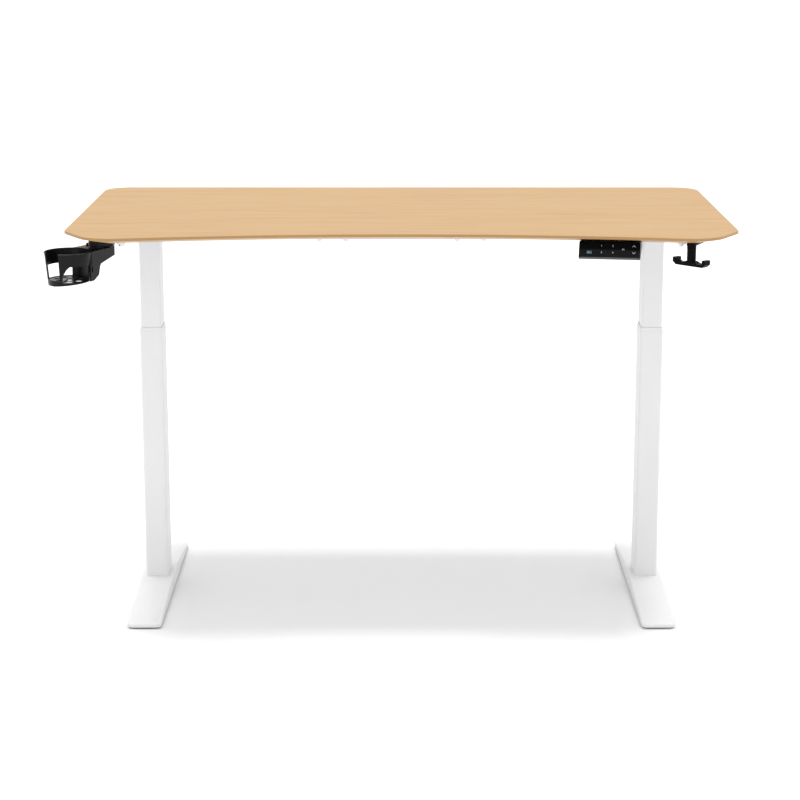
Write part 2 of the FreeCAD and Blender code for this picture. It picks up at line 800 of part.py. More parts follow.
def handset_profile():
    tilt = math.radians(face_tilt)
    foot = V(0, -face_overhang, desk_height - face_drop)
    head = foot + V(0, face_length * math.sin(tilt), face_length * math.cos(tilt))
    level = bevel_depth + 3.0
    return [
        foot,
        head,
        V(0, level, underside - 0.6),
        V(0, level + 2, underside),
        V(0, level + 28, underside),
        V(0, level + 28, underside - 15),
        V(0, -face_overhang + 8, foot.z - 2.5),
    ]


def handset_body(offset):
    half = handset_w / 2 + offset
    face = Part.Face(Part.makePolygon(handset_profile() + handset_profile()[:1]))
    if offset:
        face = face.makeOffset2D(offset, 2)
    body = face.extrude(V(2 * half, 0, 0))
    body.translate(V(-half, 0, 0))
    return body


def face_slab(depth0, depth1, margin=0.0, x0=-handset_w / 2, x1=handset_w / 2, y0=0.0, y1=face_length):
    """Slab parallel to the face, from depth0 to depth1 behind it, in the face's plane."""
    return box(x0 + margin, x1 - margin, y0 + margin, y1 - margin, -depth1, -depth0)


def handset_case():
    body = handset_body(0)
    body = round_edges(body, 5.0, lambda e: is_along(e, face_direction()) and e.Length > 20)
    half = handset_w / 2
    body = body.common(local_face(soft_box(-half, half, 0, 100, -120, 5, 4.0)))
    body = body.cut(handset_body(-case_wall))
    body = body.cut(local_face(face_slab(-5, fascia_t, 0, y0=face_lip, y1=face_length + 5)))
    body = on_handset(body)
    for x in (-40, 40):
        hole = rod(2.2, V(x, bevel_depth + 17, underside - 20), V(x, bevel_depth + 17, underside + 1))
        body = body.cut(on_handset(hole))
    return body


def face_direction():
    tilt = math.radians(face_tilt)
    return V(0, math.sin(tilt), math.cos(tilt))


window_box = (-59.0, -29.0, 10.6, 31.6)
window_t = 0.8


def handset_fascia():
    """Front plate with seven key holes and the display's recess."""
    plate = face_slab(0, fascia_t, y0=face_lip)
    plate = round_edges(plate, 5.0, lambda e: is_along(e, UP) and e.BoundBox.YMin > face_lip + 1)
    plate = round_edges(plate, 0.6, lambda e: e.BoundBox.ZMin > -1e-6)
    half = key_size / 2 + key_gap
    for x, y in keys.values():
        plate = plate.cut(soft_box(x - half, x + half, y - half, y + half, -3, 1, 1.8))
    x0, x1, y0, y1 = window_box
    return on_face(plate.cut(soft_box(x0, x1, y0, y1, -window_t, 1, 2.0)))


def handset_window():
    x0, x1, y0, y1 = window_box
    return on_face(soft_box(x0, x1, y0, y1, -window_t, 0, 2.0))


def handset_key(x, y):
    """Key cap with a retaining flange behind the fascia."""
    half = key_size / 2
    cap = soft_box(x - half, x + half, y - half, y + half, -fascia_t - key_gap, key_rise, 1.5)
    cap = round_edges(cap, 0.25, lambda e: e.BoundBox.ZMin > key_rise - 1e-6)
    half += 0.8
    flange = box(x - half, x + half, y - half, y + half, -fascia_t - key_gap - 0.8, -fascia_t - key_gap)
    return on_face(cap.fuse(flange))


def handset_board():
    depth = fascia_t + key_gap + 0.8 + key_travel + 0.4
    return on_face(face_slab(depth, depth + 1.6, 3.5))


# ---------------------------------------------------------------- cup holder

cup_rim_z = desk_height - cup_rim_below_top
cup_height = cup_rim_z - cup_base_z
cup_floor_top, cup_floor_t = cup_base_z + 10.0, 3.0
cup_skirt_rise = 0.1  # the skirt's lower edge rises this much per mm towards the desk
arm_shell, arm_rise = 3.0, 4.5
disc_t, disc_web, neck_r = 12.0, 4.0, 13.4  # the web is left above each screw's pocket
pivot_r = 6.0
plate_x, plate_y = (-648.0, -596.0), (-318.0, -264.0)
drain_r, drain_reach = 7.5, 25.0
drain_angles = [math.radians(360 / 7 * k + 20) for k in range(7)]


def cup_place(shape):
    """From the cup's own frame, centred on its axis, to the desk."""
    piece = shape.copy()
    piece.translate(V(cup_x, cup_y, 0))
    return piece


def arm_solid(inset):
    """Arm as a block, drawn along +X and then turned; inset gives the hollow inside it."""
    rim, low = cup_rim_z, cup_base_z - 2
    top = rim - inset if inset else rim + arm_rise
    end, right, left = 104.0 - inset, -43.5 + inset, 20.0 - inset
    plan = [(10, right - 4.9), (end, right), (end, left), (44, left + 4), (10, 10)]
    plan = [V(x, y, low) for x, y in plan]
    block = prism(plan, V(0, 0, top - low))
    for y, radius in ((right, 10.0 - inset), (left, 28.0 - inset)):
        corner = [e for e in block.Edges if is_along(e, UP) and abs(e.BoundBox.XMin - end) < 0.01]
        corner = [e for e in corner if abs(e.BoundBox.YMin - y) < 0.01]
        block = block.makeFillet(radius, corner)
    if not inset:
        side = [
            V(0, -60, rim),
            V(83, -60, rim),
            V(86, -60, top),
            V(end + 1, -60, top),
            V(end + 1, -60, rim - 17),
            V(93, -60, rim - 18.5),
            V(47, -60, rim - 29),
            V(44, -60, rim - 34),
            V(39, -60, rim - 51),
            V(21, -60, cup_base_z + 7.5),
            V(0, -60, cup_base_z + 4),
        ]
        block = block.common(prism(side, V(0, 120, 0)))
    return turned(block, V(0, 0, 0), UP, cup_arm_angle)


def cup_wedge(angle0, angle1, z0, z1):
    """Sector through the cup's wall between two directions and two heights."""
    far = 80.0
    points = [V(0, 0, z0)]
    steps = 4
    for k in range(steps + 1):
        a = math.radians(angle0 + (angle1 - angle0) * k / steps)
        points.append(V(far * math.cos(a), far * math.sin(a), z0))
    return prism(points, V(0, 0, z1 - z0))


def under_skirt():
    """Everything below the cup's slanted lower edge."""
    far = 130.0
    level = cup_base_z + 2.6
    rise = far * cup_skirt_rise
    points = [
        V(-far, -far, level - rise),
        V(far, -far, level + rise),
        V(far, -far, cup_base_z - 60),
        V(-far, -far, cup_base_z - 60),
    ]
    return prism(points, V(0, 2 * far, 0))


def front_window():
    """Opening in the front of the cup, whose left side curves over to a peak."""
    low, high = cup_floor_top - 1.5, cup_rim_z - 26
    left = [(-8.5, low), (-6.5, low + 13.5), (1.0, high - 7), (8.5, high), (-30, high), (-30, low)]
    kept = prism([V(x, -70, z) for x, z in left], V(0, 70, 0))
    return cup_wedge(252, 338, low, high).cut(kept)


def cup_holder():
    """Open cup with a mug-handle slot, windows and drain holes, on a hollow swivelling arm."""
    outside = Part.makeCone(cup_bottom_r, cup_top_r, cup_height, V(0, 0, cup_base_z))
    lip = upright(cup_top_r + 1.0, 0, 0, cup_rim_z - 2.4, cup_rim_z)
    lip = round_edges(lip, 0.9, lambda e: True)
    fold = upright(2.2, 15.5, -47.2, cup_rim_z - 27, cup_rim_z - 0.5)
    fold = turned(fold, V(0, 0, 0), UP, cup_arm_angle)
    body = outside.fuse([lip, fold, arm_solid(0).cut(arm_solid(arm_shell))])
    inner_r = cup_bottom_r - cup_wall
    cavity = Part.makeCone(inner_r, cup_top_r - cup_wall, cup_height, V(0, 0, cup_base_z))
    floor_low = cup_floor_top - cup_floor_t
    body = body.cut(cavity.cut(box(-60, 60, -60, 60, floor_low - 0.01, cup_floor_top)))
    body = body.cut(upright(inner_r, 0, 0, cup_base_z - 1, floor_low))
    body = body.cut(under_skirt())
    body = body.cut(cup_wedge(204, 253, cup_floor_top + 2.5, cup_rim_z + 1))
    body = body.cut(front_window())
    body = body.cut(cup_wedge(90, 172, cup_floor_top + 1, cup_rim_z - 30))
    slot = box(13.5, 17.5, -52, -44.5, cup_rim_z - 43, cup_rim_z - 30)
    body = body.cut(turned(slot, V(0, 0, 0), UP, cup_arm_angle))
    holes = [(drain_reach * math.cos(a), drain_reach * math.sin(a)) for a in drain_angles] + [(0, 0)]
    for x, y in holes:
        body = body.cut(upright(drain_r, x, y, cup_base_z - 1, cup_floor_top + 1))
    x, y = cup_pivot
    boss = ring(neck_r + 3.8, neck_r + 0.6, V(x, y, cup_rim_z - 0.5), V(x, y, cup_rim_z + 2.0))
    body = body.fuse(boss).cut(upright(pivot_r + running_gap, x, y, cup_rim_z - 6, cup_rim_z + 1))
    return cup_place(body)


def cup_mount():
    """Fixed plate, neck and pivot pin above the arm's end."""
    x, y = cup_x + cup_pivot[0], cup_y + cup_pivot[1]
    plate = soft_box(*plate_x, *plate_y, underside - disc_t, underside, 10.0)
    plate = round_edges(plate, 1.0, lambda e: abs(e.BoundBox.ZMax - (underside - disc_t)) < 1e-6)
    neck = upright(neck_r, x, y, cup_rim_z + 0.3, underside - disc_t)
    pin = upright(pivot_r, x, y, cup_rim_z - arm_shell - 0.4, cup_rim_z + 0.3)
    mount = plate.fuse([neck, pin])
    mount = mount.cut(upright(2.0, x, y, cup_rim_z - 10, cup_rim_z + 8))
    for px, py in cup_screw_places():
        mount = mount.cut(upright(2.0, px, py, underside - 20, underside + 1))
        mount = mount.cut(upright(5.2, px, py, underside - 20, underside - disc_web))
    return mount


def cup_screw_places():
    """Three screws in the plate, where the board above it is level."""
    inset = 8.0
    return [
        (plate_x[1] - inset, plate_y[0] + inset),
        (plate_x[1] - inset, plate_y[1] - inset),
        (plate_x[0] + inset, plate_y[1] - inset),
    ]


def cup_pivot_screw():
    """Washer and screw that hold the arm up on its pivot pin."""
    x, y = cup_x + cup_pivot[0], cup_y + cup_pivot[1]
    seat = cup_rim_z - arm_shell - 0.4
    washer = ring(11.0, 2.0, V(x, y, seat - 1.5), V(x, y, seat))
    return washer, pan_screw(x, y, seat - 1.5, 12.0, 2.0, 4.0, 2.6)


# ---------------------------------------------------------------- headphone hook

hook_bar_half, hook_bar_w, hook_bar_t = 42.0, 19.0, 6.0
hook_low = desk_height - 64.0
hook_tip = hook_low + 15.0
hook_tip_t = 8.5
stem_r, stem_top = 9.3, 836.0
hook_plate_turn = -25.0


def hook_place(shape):
    piece = shape.copy()
    piece.rotate(V(0, 0, 0), UP, hook_turn)
    piece.translate(V(hook_x, hook_y, 0))
    return piece


def hook():
    """Two-ended hook hanging from a round stem."""
    end, inner = hook_bar_half, hook_bar_half - hook_tip_t
    thick = hook_low + hook_bar_t
    right = [
        V(end - 8, 0, hook_low),
        V(end, 0, hook_low + 6),
        V(end, 0, hook_tip),
        V(inner, 0, hook_tip),
        V(inner, 0, thick + 2),
        V(inner - 4, 0, thick),
        V(stem_r + 8, 0, thick + 0.5),
        V(stem_r, 0, thick + 4),
    ]
    left = [V(-p.x, 0, p.z) for p in reversed(right)]
    bar = prism(right + left, V(0, hook_bar_w, 0))
    bar.translate(V(0, -hook_bar_w / 2, 0))
    bar = round_edges(bar, 1.3, lambda e: e.Length > 3.5 and not is_along(e, V(0, 1, 0)))
    stem = upright(stem_r, 0, 0, hook_low + 3, stem_top - 0.3)
    body = bar.fuse(stem)
    return hook_place(body.cut(upright(3.0, 0, 0, stem_top - 16, stem_top + 1)))


def hook_screw():
    """Countersunk pivot screw, fast in the stem and free in the mounting plate."""
    head = upright(5.4, 0, 0, underside - 3.2, underside - 0.4)
    return hook_place(head.fuse(upright(3.0, 0, 0, stem_top - 16, underside - 3.2)))


def hook_mount():
    """Narrow plate with a short boss that the stem hangs from."""
    plate = soft_box(-10, 10, -10, 62, underside - 4, underside, 8.0)
    plate = turned(plate, V(0, 0, 0), UP, hook_plate_turn)
    plate.translate(V(hook_x, hook_y, 0))
    mount = plate.fuse(upright(stem_r + 0.3, hook_x, hook_y, stem_top, underside - 4))
    mount = mount.cut(upright(5.7, hook_x, hook_y, underside - 3.5, underside + 1))
    mount = mount.cut(upright(3.0 + running_gap, hook_x, hook_y, stem_top - 1, underside))
    for x, y in hook_screw_places():
        mount = mount.cut(upright(2.0, x, y, underside - 5, underside + 1))
    return mount


def hook_screw_places():
    a = math.radians(hook_plate_turn)
    return [(hook_x - reach * math.sin(a), hook_y + reach * math.cos(a)) for reach in (27, 52)]


# ---------------------------------------------------------------- the assembly

# base: feet, glides and lower tubes
for name, side in (("left", -1), ("right", 1)):
    for node, shape in (("foot", foot()), ("outer_tube", outer_tube())):
        add(f"{name}_{node}", shape if side > 0 else mirror_x(shape))
    for end, y in (("front", -glide_y), ("rear", glide_y)):
        piece = glide(y)
        add(f"{name}_{end}_glide", piece if side > 0 else mirror_x(piece))
add("foot_stiffeners", *both_sides(foot_plate()))
for y in (-glide_y, glide_y):
    add("foot_stiffeners", *both_sides(glide_strap(y)))
for x, y in column_bolt_places():
    add("column_bolts", *both_sides(column_bolt(x, y)))
add("tube_collars", *both_sides(collar()))
add("nut_tubes", *both_sides(nut_tube()))
add("spindle_nuts", *both_sides(spindle_nut()))

# legs' upper halves and the lift mechanism
add("right_inner_tube", inner_tube())
add("left_inner_tube", mirror_x(inner_tube()))
add("slide_sleeves", *both_sides(slide_sleeve()))
add("head_plates", *both_sides(head_plate()))
for x, y in head_bolt_places():
    add("head_bolts", *both_sides(head_bolt(x, y)))
    add("head_bolts", *both_sides(head_spacer(x, y)))
gear_housing, gear_cover = gearbox_parts()
add("gearbox_housings", *both_sides(gear_housing))
add("gearbox_covers", *both_sides(gear_cover))
add("spindle_bearings", *both_sides(spindle_bearing()))
add("right_spindle", spindle(), bevel_wheel())
add("left_spindle", mirror_x(spindle()), mirror_x(bevel_wheel()))
add("drive_shaft", drive_shaft())
add("shaft_gears", worm_wheel(), *both_sides(bevel_pinion()))
add("worm_gearbox", worm_box())
add("motor_housing", motor_housing(), *motor_magnets())
add("motor_rotor", motor_rotor())
add("motor_bracket", motor_bracket())

# frame
add("right_side_bracket", side_bracket())
add("left_side_bracket", mirror_x(side_bracket()))
for y in (front_rail_y, rear_rail_y):
    add("centre_rails", rail_tube(-centre_rail_half, centre_rail_half, y, 0))
    add("side_rails", *both_sides(side_rail(y)))
    for x in lock_bolt_x:
        add("rail_lock_bolts", *both_sides(lock_bolt(x, y)))
for y, z in end_bolt_places():
    add("rail_end_bolts", *both_sides(end_bolt(y, z)))
for x, y in frame_screw_places():
    add("rubber_pads", *both_sides(rubber_pad(x, y)))
    for side in (-1, 1):
        wood_screw("frame_screws", side * x, y, rail_top, 2.5, 6.0, 6.5)

# control box, handset, cup holder and hook
add("control_case", control_case())
add("control_lid", control_lid())
add("control_board", control_board())
add("control_sockets", *control_sockets())
for side in (-1, 1):
    wood_screw("accessory_screws", side * (box_half_x + 10), (box_y0 + box_y1) / 2, underside - 4)
add("handset_case", handset_case())
add("handset_fascia", handset_fascia())
add("handset_window", handset_window())
add("handset_board", handset_board())
for name, (x, y) in keys.items():
    add(name, handset_key(x, y))
add("cup_mount", cup_mount())
add("cup_holder", cup_holder())
add("accessory_screws", *cup_pivot_screw())
add("hook_mount", hook_mount())
add("headphone_hook", hook())
add("hook_pivot_screw", hook_screw())
for x, y in hook_screw_places():
    wood_screw("accessory_screws", x, y, underside - 4)
for x, y in cup_screw_places():
    wood_screw("accessory_screws", x, y, underside - disc_web)

top = tabletop()
for hole in pilot_holes:
    top = top.cut(hole)
add("tabletop", top)

os.makedirs("parts", exist_ok=True)
for name, solids in nodes.items():
    shape = solids[0] if len(solids) == 1 else Part.makeCompound(solids)
    shape.exportStep(f"parts/{name}.step")
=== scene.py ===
import json
import math

import bpy
from mathutils import Matrix, Vector


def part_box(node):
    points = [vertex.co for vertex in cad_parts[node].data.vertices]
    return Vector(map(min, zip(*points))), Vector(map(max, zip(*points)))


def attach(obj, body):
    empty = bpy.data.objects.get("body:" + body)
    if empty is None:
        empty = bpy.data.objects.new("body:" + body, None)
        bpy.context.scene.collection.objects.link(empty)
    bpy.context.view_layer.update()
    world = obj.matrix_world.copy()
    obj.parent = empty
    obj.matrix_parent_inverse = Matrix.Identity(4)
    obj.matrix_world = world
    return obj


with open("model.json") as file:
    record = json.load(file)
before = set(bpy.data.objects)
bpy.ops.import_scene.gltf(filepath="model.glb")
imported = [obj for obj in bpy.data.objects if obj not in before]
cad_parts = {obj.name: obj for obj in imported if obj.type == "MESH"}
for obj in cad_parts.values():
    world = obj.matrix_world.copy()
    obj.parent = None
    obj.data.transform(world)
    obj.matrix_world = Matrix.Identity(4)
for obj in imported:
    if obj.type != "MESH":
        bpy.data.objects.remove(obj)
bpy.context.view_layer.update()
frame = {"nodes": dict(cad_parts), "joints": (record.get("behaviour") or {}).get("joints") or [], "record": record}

nodes = frame["nodes"]
slot_of = {part["node"]: part["material_slot"] for part in frame["record"]["subparts"]}
joint_of = {joint["name"]: joint for joint in frame["joints"]}


def placed(name, data):
    """A new object in the scene."""
    made = bpy.data.objects.new(name, data)
    bpy.context.scene.collection.objects.link(made)
    return made


# ---------------------------------------------------------------- material building blocks
class Finish:
    """A material's node tree, with one short call for each kind of node used here."""

    def __init__(self, name):
        self.material = bpy.data.materials.new(name)
        self.material.use_nodes = True
        self.tree = self.material.node_tree
        self.shader = self.tree.nodes["Principled BSDF"]
        self.place = self.add("ShaderNodeTexCoord").outputs["Object"]

    def add(self, kind, inputs=(), **settings):
        """A node with its inputs by name and its settings by keyword."""
        made = self.tree.nodes.new(kind)
        for key, value in settings.items():
            setattr(made, key, value)
        for key, value in dict(inputs).items():
            self.feed(made.inputs[key], value)
        return made

    def feed(self, socket, value):
        """Link an output to the socket, or set the socket to a plain value."""
        if isinstance(value, bpy.types.NodeSocket):
            self.tree.links.new(value, socket)
        else:
            socket.default_value = value

    def set(self, **sockets):
        """Shader inputs by name, with _ for a space."""
        for key, value in sockets.items():
            self.feed(self.shader.inputs[key.replace("_", " ")], value)

    def stretch(self, x, y, z):
        """The object's own coordinates, scaled along each axis."""
        return self.add("ShaderNodeMapping", {"Vector": self.place, "Scale": (x, y, z)}).outputs[0]

    def noise(self, vector, scale, detail=3.0, rough=0.5, distortion=0.0):
        made = self.add("ShaderNodeTexNoise", {
            "Vector": vector, "Scale": scale, "Detail": detail,
            "Roughness": rough, "Distortion": distortion,
        })
        return made.outputs["Fac"]

    def ramp(self, factor, *stops):
        """A colour that follows factor through (position, colour) stops."""
        made = self.add("ShaderNodeValToRGB", {"Fac": factor})
        line = made.color_ramp.elements
        while len(line) < len(stops):
            line.new(0.5)
        for element, (position, colour) in zip(line, stops):
            element.position = position
            element.color = (*colour, 1.0)
        return made.outputs["Color"]

    def span(self, value, low, high, to_low, to_high, smooth=False):
        """The value from low to high, mapped to the range from to_low to to_high and held at its ends."""
        made = self.add("ShaderNodeMapRange", {
            "Value": value, "From Min": low, "From Max": high, "To Min": to_low, "To Max": to_high,
        })
        if smooth:
            made.interpolation_type = "SMOOTHSTEP"
        return made.outputs["Result"]

    def maths(self, operation, a, b=0.0):
        made = self.add("ShaderNodeMath", operation=operation)
        self.feed(made.inputs[0], a)
        self.feed(made.inputs[1], b)
        return made.outputs[0]

    def mix(self, factor, a, b):
        """Colour a at factor 0, colour b at factor 1."""
        made = self.add("ShaderNodeMix", data_type="RGBA")
        self.feed(made.inputs[0], factor)
        for socket, value in ((made.inputs[6], a), (made.inputs[7], b)):
            self.feed(socket, (*value, 1.0) if isinstance(value, tuple) else value)
        return made.outputs[2]

    def axis(self, name):
        return self.add("ShaderNodeSeparateXYZ", {"Vector": self.place}).outputs[name]

    def bump(self, height, strength, distance, under=None):
        """A surface normal raised by height, over the normal under."""
        made = self.add("ShaderNodeBump", {"Height": height, "Strength": strength, "Distance": distance})
        if under is not None:
            self.feed(made.inputs["Normal"], under)
        return made.outputs["Normal"]


def tinted(colour, by):
    """The colour, lighter or darker by a factor."""
    return tuple(min(1.0, c * by) for c in colour)


def moulded(name, colour, rough, spread=0.10, grain=1400.0, depth=0.00004, patch=14.0, **sockets):
    """Plastic, rubber or paint: slow tone changes, a fine surface texture and uneven gloss."""
    made = Finish(name)
    slow = made.noise(made.place, patch, detail=4.0, rough=0.6)
    fine = made.noise(made.place, grain, detail=2.0, rough=0.55)
    tone = made.ramp(slow, (0.30, tinted(colour, 1 - spread)), (0.70, tinted(colour, 1 + spread)))
    speckle = made.ramp(fine, (0.35, tinted(colour, 0.86)), (0.65, tinted(colour, 1.12)))
    slow_gloss = made.span(slow, 0.3, 0.7, rough * 0.88, rough * 1.10)
    fine_gloss = made.span(fine, 0.3, 0.7, -0.02, 0.02)
    made.set(
        Base_Color=made.mix(0.25, tone, speckle),
        Roughness=made.maths("ADD", slow_gloss, fine_gloss),
        Normal=made.bump(fine, 0.35, depth),
        **sockets,
    )
    return made


def metal(name, colour, rough, along=(1.0, 1.0, 1.0), grain=700.0, depth=0.00002, spread=0.08):
    """Bare or plated metal: brush or cutter marks, cloudy tone and uneven gloss."""
    made = Finish(name)
    cloudy = made.noise(made.place, 26.0, detail=5.0, rough=0.6)
    marks = made.noise(made.stretch(*along), grain, detail=3.0, rough=0.6)
    both = made.maths("ADD", made.maths("MULTIPLY", cloudy, 0.6), made.maths("MULTIPLY", marks, 0.4))
    made.set(
        Base_Color=made.ramp(both, (0.32, tinted(colour, 1 - spread)), (0.68, tinted(colour, 1 + spread))),
        Metallic=1.0,
        Roughness=made.span(both, 0.3, 0.7, rough * 0.8, rough * 1.25),
        Normal=made.bump(marks, 0.4, depth),
    )
    return made


# ---------------------------------------------------------------- finishes
top_low, top_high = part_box("tabletop")
edge_band = 0.006  # upright edge above the under-bevel


def pale_oak():
    """Lacquered veneer on the face and bevel, a darker edge band and a pale backing sheet below.

    The grain runs along X, with slow bands, fine streaks, cathedral arches and pores.
    """
    wood = Finish("pale_oak")
    bands = wood.noise(wood.stretch(1.1, 9.0, 9.0), 3.2, detail=5.0, rough=0.55, distortion=0.4)
    streaks = wood.noise(wood.stretch(1.6, 60.0, 60.0), 3.0, detail=6.0, rough=0.62, distortion=0.15)
    fibres = wood.noise(wood.stretch(9.0, 620.0, 620.0), 3.0, detail=3.0, rough=0.6)
    arches = wood.add("ShaderNodeTexWave", {
        "Vector": wood.stretch(0.9, 9.0, 9.0), "Scale": 1.6, "Distortion": 7.0, "Detail": 3.0,
        "Detail Scale": 0.8, "Detail Roughness": 0.55,
    }, wave_type="BANDS", bands_direction="Y", wave_profile="SAW").outputs["Fac"]
    pores = wood.noise(wood.stretch(38.0, 900.0, 900.0), 2.2, detail=2.0, rough=0.5)

    body = wood.ramp(
        bands, (0.28, (0.370, 0.200, 0.058)), (0.45, (0.403, 0.232, 0.070)),
        (0.60, (0.416, 0.243, 0.075)), (0.78, (0.395, 0.214, 0.065)),
    )
    body = wood.mix(wood.span(streaks, 0.42, 0.70, 0.0, 0.45), body, (0.355, 0.184, 0.049))
    body = wood.mix(wood.span(streaks, 0.50, 0.28, 0.0, 0.40), body, (0.440, 0.268, 0.091))
    body = wood.mix(wood.span(arches, 0.72, 1.0, 0.0, 0.20), body, (0.331, 0.164, 0.043))
    body = wood.mix(wood.span(fibres, 0.45, 0.75, 0.0, 0.16), body, (0.308, 0.155, 0.043))
    body = wood.mix(wood.span(pores, 0.66, 0.74, 0.0, 0.40), body, (0.236, 0.113, 0.031))

    height = wood.axis("Z")
    face = wood.span(height, top_high.z - 0.0009, top_high.z - 0.0003, 0.0, 1.0)
    band = wood.span(height, top_high.z - edge_band - 0.0003, top_high.z - edge_band + 0.0002, 0.0, 1.0)
    backing = wood.span(height, top_low.z + 0.0002, top_low.z + 0.0006, 1.0, 0.0)
    bevel_wood = wood.mix(0.55, body, (0.560, 0.350, 0.215))
    under = wood.mix(backing, bevel_wood, (0.720, 0.700, 0.680))
    edge = wood.mix(0.80, body, (0.375, 0.205, 0.068))
    colour = wood.mix(face, wood.mix(band, under, edge), body)

    relief = wood.maths("ADD", fibres, wood.maths("MULTIPLY", pores, -0.7))
    streak_gloss = wood.span(streaks, 0.3, 0.7, 0.44, 0.56)
    fibre_gloss = wood.span(fibres, 0.3, 0.7, -0.03, 0.03)
    wood.set(
        Base_Color=colour,
        Roughness=wood.maths("ADD", streak_gloss, fibre_gloss),
        Normal=wood.bump(relief, 0.25, 0.00006),
        Coat_Weight=0.12,
        Coat_Roughness=0.35,
    )
    return wood


def powder_coat():
    """White powder coat: orange peel, faint flow marks and a trace of handling dust."""
    coat = Finish("white_powder_coat")
    peel = coat.noise(coat.place, 520.0, detail=2.0, rough=0.5)
    grit = coat.noise(coat.place, 2100.0, detail=1.0, rough=0.5)
    flow = coat.noise(coat.stretch(6.0, 6.0, 2.5), 1.6, detail=4.0, rough=0.6)
    dust = coat.noise(coat.stretch(18.0, 18.0, 9.0), 2.4, detail=6.0, rough=0.7)
    tone = coat.ramp(flow, (0.30, (0.700, 0.702, 0.705)), (0.70, (0.730, 0.731, 0.733)))
    tone = coat.mix(coat.span(dust, 0.60, 0.82, 0.0, 0.10), tone, (0.60, 0.59, 0.57))
    tone = coat.mix(coat.span(grit, 0.62, 0.74, 0.0, 0.10), tone, (0.66, 0.66, 0.66))
    flow_gloss = coat.span(flow, 0.3, 0.7, 0.40, 0.50)
    dust_gloss = coat.span(dust, 0.4, 0.8, 0.0, 0.08)
    coat.set(
        Base_Color=tone,
        Roughness=coat.maths("ADD", flow_gloss, dust_gloss),
        Normal=coat.bump(grit, 0.10, 0.00002, coat.bump(peel, 0.22, 0.00006)),
    )
    return coat


def circuit_board():
    """Solder mask over copper tracks, with bare pads."""
    board = Finish("circuit_board")
    tracks = board.add("ShaderNodeTexVoronoi", {
        "Vector": board.place, "Scale": 260.0, "Randomness": 0.65,
    }, feature="DISTANCE_TO_EDGE", distance="EUCLIDEAN").outputs["Distance"]
    pads = board.add("ShaderNodeTexVoronoi", {"Vector": board.place, "Scale": 210.0}).outputs["Distance"]
    pad = board.span(pads, 0.10, 0.14, 1.0, 0.0)
    mask = board.ramp(tracks, (0.05, (0.050, 0.210, 0.095)), (0.09, (0.018, 0.120, 0.055)))
    board.set(
        Base_Color=board.mix(pad, mask, (0.62, 0.60, 0.52)),
        Metallic=board.maths("MULTIPLY", pad, 0.9),
        Roughness=board.span(tracks, 0.0, 0.15, 0.28, 0.40),
        Normal=board.bump(tracks, 0.30, 0.00005),
    )
    return board


def handset_face(name, rough, depth):
    """Black handset front: a gloss upper half over a lower half painted slightly greyer as a painted reflection,
    with faint smudges.
    """
    made = Finish(name)
    smudge = made.noise(made.stretch(1.0, 1.0, 1.6), 60.0, detail=4.0, rough=0.65)
    fine = made.noise(made.place, 1800.0, detail=1.0)
    low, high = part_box("handset_fascia")
    half = (low.z + high.z) / 2
    upper = made.span(made.axis("Z"), half - 0.0004, half + 0.0010, 0.0, 1.0, smooth=True)
    # Painted reflection: the lower half's greyer base colour stands for reflected light, so the upper half reads
    # darker.
    painted_reflection_tone = made.ramp(smudge, (0.35, (0.0068, 0.0068, 0.0072)), (0.70, (0.0105, 0.0105, 0.0110)))
    upper_tone = made.ramp(smudge, (0.35, (0.0008, 0.0008, 0.0010)), (0.70, (0.0014, 0.0014, 0.0018)))
    made.set(
        Base_Color=made.mix(upper, painted_reflection_tone, upper_tone),
        Roughness=made.span(smudge, 0.35, 0.75, rough, rough + 0.12),
        Normal=made.bump(fine, 0.12, depth),
        Specular_IOR_Level=0.03,
    )
    return made


finishes = {
    "wood_top": pale_oak(),
    "white_paint": powder_coat(),
    "zinc_steel": metal("zinc_plated_steel", (0.66, 0.67, 0.69), 0.32, along=(1.0, 1.0, 0.15)),
    "black_screws": metal("black_oxide_steel", (0.06, 0.06, 0.065), 0.42),
    "machined_steel": metal("machined_steel", (0.58, 0.58, 0.59), 0.28, along=(1.0, 1.0, 8.0)),
    "die_cast": metal("die_cast_alloy", (0.56, 0.57, 0.58), 0.52, grain=420.0, depth=0.00008, spread=0.12),
    "motor_steel": moulded("motor_enamel", (0.030, 0.030, 0.034), 0.36, grain=900.0),
    "guide_plastic": moulded("guide_nylon", (0.730, 0.730, 0.735), 0.44, spread=0.03, grain=1100.0),
    "rubber": moulded("rubber", (0.020, 0.020, 0.020), 0.78, spread=0.18, grain=800.0, depth=0.00009),
    "black_plastic": moulded(
        "black_case_plastic", (0.052, 0.051, 0.056), 0.46, grain=1300.0, depth=0.00006,
        Specular_IOR_Level=0.50,
    ),
    "circuit_board": circuit_board(),
    "fascia_black": handset_face("handset_fascia_gloss", 0.16, 0.00001),
    "window_black": handset_face("handset_window_gloss", 0.08, 0.000005),
    "key_plastic": handset_face("handset_key_plastic", 0.30, 0.00003),
    "accessory_black": moulded(
        "accessory_plastic", (0.0035, 0.0035, 0.0040), 0.30, grain=1200.0, depth=0.00005,
        Specular_IOR_Level=0.17,
    ),
}
# The hook is a duller, darker black than the cup holder.
hook_finish = moulded(
    "hook_plastic", (0.0018, 0.0018, 0.0020), 0.36, grain=1200.0, depth=0.00005,
    Specular_IOR_Level=0.06,
)
own_finish = {"headphone_hook": hook_finish, "hook_mount": hook_finish}
for name, piece in nodes.items():
    piece.data.materials.clear()
    piece.data.materials.append(own_finish.get(name, finishes[slot_of[name]]).material)


# ---------------------------------------------------------------- marks on the handset
press = Vector(joint_of["key_up_press"]["axis"]).normalized()
outward = -press
across = Vector((press.y, -press.x, 0.0)).normalized()
upward = outward.cross(across)


